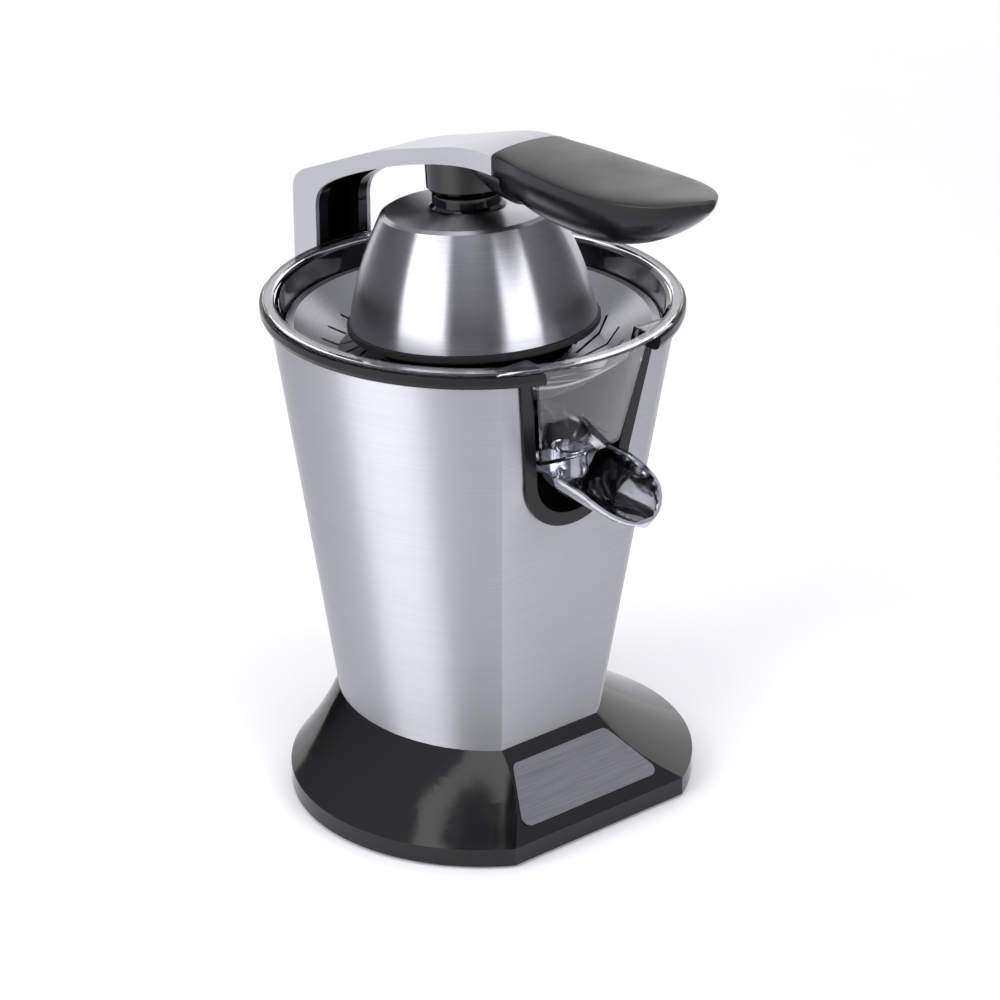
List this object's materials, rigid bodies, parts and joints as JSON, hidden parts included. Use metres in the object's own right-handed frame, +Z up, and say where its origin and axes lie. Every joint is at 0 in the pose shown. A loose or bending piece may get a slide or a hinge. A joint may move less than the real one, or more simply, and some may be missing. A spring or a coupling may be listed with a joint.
{
  "type": "citrus press juicer",
  "caption": "Electric citrus press: tapered steel stand, clear bowl and strainer, tilting spout, ribbed reamer, and a lever arm with a steel press dome.",
  "frame": {"origin": "on the drive axis, in the plane that the foot ring stands on", "axes": "+Z up along the drive axis; the spout and the arm's grip point along -Y; +X to the right seen from the front"},
  "size_m": [0.1955, 0.269, 0.3251],
  "materials": {
    "gloss_black": "moulded, gloss",
    "satin_black": "moulded, fine texture",
    "soft_grip": "soft-touch, matte",
    "steel_sheet": "brushed",
    "polished_steel": "polished",
    "silver_paint": "satin silver paint",
    "clear_plastic": "clear, polished",
    "rubber": "moulded, matte",
    "steel": "turned",
    "gear_plastic": "moulded acetal",
    "housing_plastic": "moulded, filled",
    "copper": "enamelled winding",
    "bronze": "sintered",
    "iron": "laminated, oiled"
  },
  "bodies": {
    "stand": {"base_cover": "gloss_black", "base_plate": "satin_black", "foot_ring": "rubber", "base_screws": "steel", "badge_plate": "polished_steel", "cable_gland": "rubber", "terminal_block": "gear_plastic", "sleeve": "steel_sheet", "top_collar": "satin_black", "basin": "gloss_black", "spout_bay": "satin_black", "bowl": "clear_plastic", "strainer": "steel_sheet", "hinge_bracket": "satin_black", "bracket_screws": "steel", "hinge_pin": "steel", "hinge_washers": "gear_plastic", "shaft_bearing": "bronze", "shaft_seal": "rubber", "gearbox_housing": "housing_plastic", "gearbox_cover": "housing_plastic", "gearbox_screws": "steel", "idler_axle": "steel", "return_spring": "steel", "micro_switch": "satin_black", "stator_core": "iron", "motor_windings": "copper", "motor_frame": "housing_plastic", "motor_mounts": "rubber", "lower_bearing": "bronze", "upper_bearing": "bronze", "motor_spacers": "steel", "motor_bolts": "steel"},
    "arm": {"arm_shell": "silver_paint", "arm_liner": "satin_black", "grip_bottom": "soft_grip", "grip_top": "soft_grip", "dome_socket": "gloss_black"},
    "dome": {"press_dome": "steel_sheet", "dome_lining": "satin_black", "dome_rim_ring": "rubber", "dome_neck": "gloss_black"},
    "spout": {"spout": "polished_steel"},
    "carriage": {"thrust_cup": "gear_plastic"},
    "reamer": {"reamer": "gloss_black", "drive_shaft": "steel"},
    "output_gear": {"final_gear": "gear_plastic"},
    "idler": {"idler_gear": "gear_plastic"},
    "rotor": {"rotor_core": "iron", "rotor_shaft": "steel", "rotor_pinion": "steel"},
    "plunger": {"switch_plunger": "gear_plastic"}
  },
  "joints": [
    {"name": "arm_hinge", "type": "hinge", "parent": "stand", "child": "arm", "pos_m": [0, 0.1065, 0.213], "axis": [-1, 0, 0], "range_deg": [-4.5, 75]},
    {"name": "dome_rock", "type": "hinge", "parent": "arm", "child": "dome", "pos_m": [0, 0.0046, 0.29475], "axis": [-1, 0, 0], "range_deg": [-3, 3]},
    {"name": "spout_tilt", "type": "hinge", "parent": "stand", "child": "spout", "pos_m": [0, -0.066, 0.1804], "axis": [-1, 0, 0], "range_deg": [0, 8]},
    {"name": "press_slide", "type": "slide", "parent": "stand", "child": "carriage", "axis": [0, 0, 1], "range_m": [-0.003, 0], "stiffness_N_per_m": 1500, "springref_m": 0.004, "deforming": ["return_spring"]},
    {"name": "plunger_slide", "type": "slide", "parent": "stand", "child": "plunger", "axis": [0, 0, 1], "range_m": [-0.003, 0]},
    {"name": "rotor_spin", "type": "hinge", "parent": "stand", "child": "rotor", "pos_m": [0, 0, 0.06], "axis": [0, 0, 1], "continuous": true},
    {"name": "idler_spin", "type": "hinge", "parent": "stand", "child": "idler", "pos_m": [0, 0.036, 0.11], "axis": [0, 0, 1], "continuous": true},
    {"name": "output_spin", "type": "hinge", "parent": "stand", "child": "output_gear", "pos_m": [0, 0, 0.118], "axis": [0, 0, 1], "continuous": true},
    {"name": "reamer_spin", "type": "hinge", "parent": "carriage", "child": "reamer", "pos_m": [0, 0, 0.16], "axis": [0, 0, 1], "continuous": true}
  ],
  "couplings": [
    {"joint": "plunger_slide", "follows": "press_slide", "ratio": 1},
    {"joint": "idler_spin", "follows": "rotor_spin", "ratio": -0.26316},
    {"joint": "output_spin", "follows": "rotor_spin", "ratio": 0.069252},
    {"joint": "reamer_spin", "follows": "rotor_spin", "ratio": 0.069252}
  ]
}
